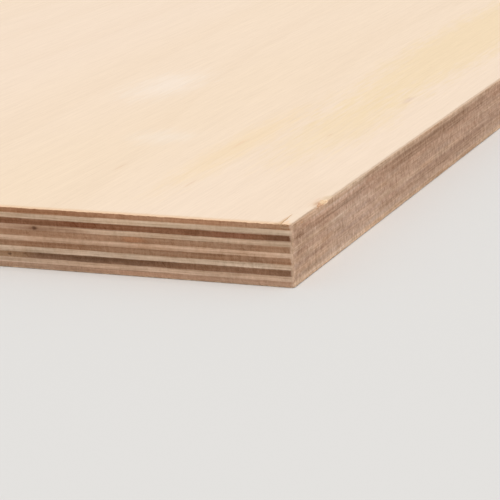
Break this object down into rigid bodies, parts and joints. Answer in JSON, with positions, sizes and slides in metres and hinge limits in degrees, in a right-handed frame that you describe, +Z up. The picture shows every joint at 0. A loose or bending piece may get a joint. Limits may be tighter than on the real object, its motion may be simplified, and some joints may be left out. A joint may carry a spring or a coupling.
{
  "type": "plywood sheet",
  "caption": "Square sheet of sanded birch plywood, lying flat: thin veneers glued with crossing grain, sawn edges, and a small split and chip in the face at one corner.",
  "frame": {"origin": "centre of the underside of the sheet as it lies flat", "axes": "+Z up through the thickness to the face veneer, +Y along the grain of the face, +X across that grain; the split and the chip are at the corner towards +X and -Y"},
  "size_m": [1.525, 1.525, 0.015],
  "materials": {
    "birch_face": "sanded, matt, unsealed",
    "birch_long_ply": "sawn, matt",
    "birch_crossband": "sawn, matt"
  },
  "bodies": {
    "root": {"face_veneer": "birch_face", "crossband_1": "birch_crossband", "long_ply_1": "birch_long_ply", "crossband_2": "birch_crossband", "long_ply_2": "birch_long_ply", "crossband_3": "birch_crossband", "long_ply_3": "birch_long_ply", "crossband_4": "birch_crossband", "long_ply_4": "birch_long_ply", "crossband_5": "birch_crossband", "back_veneer": "birch_face"}
  },
  "joints": []
}
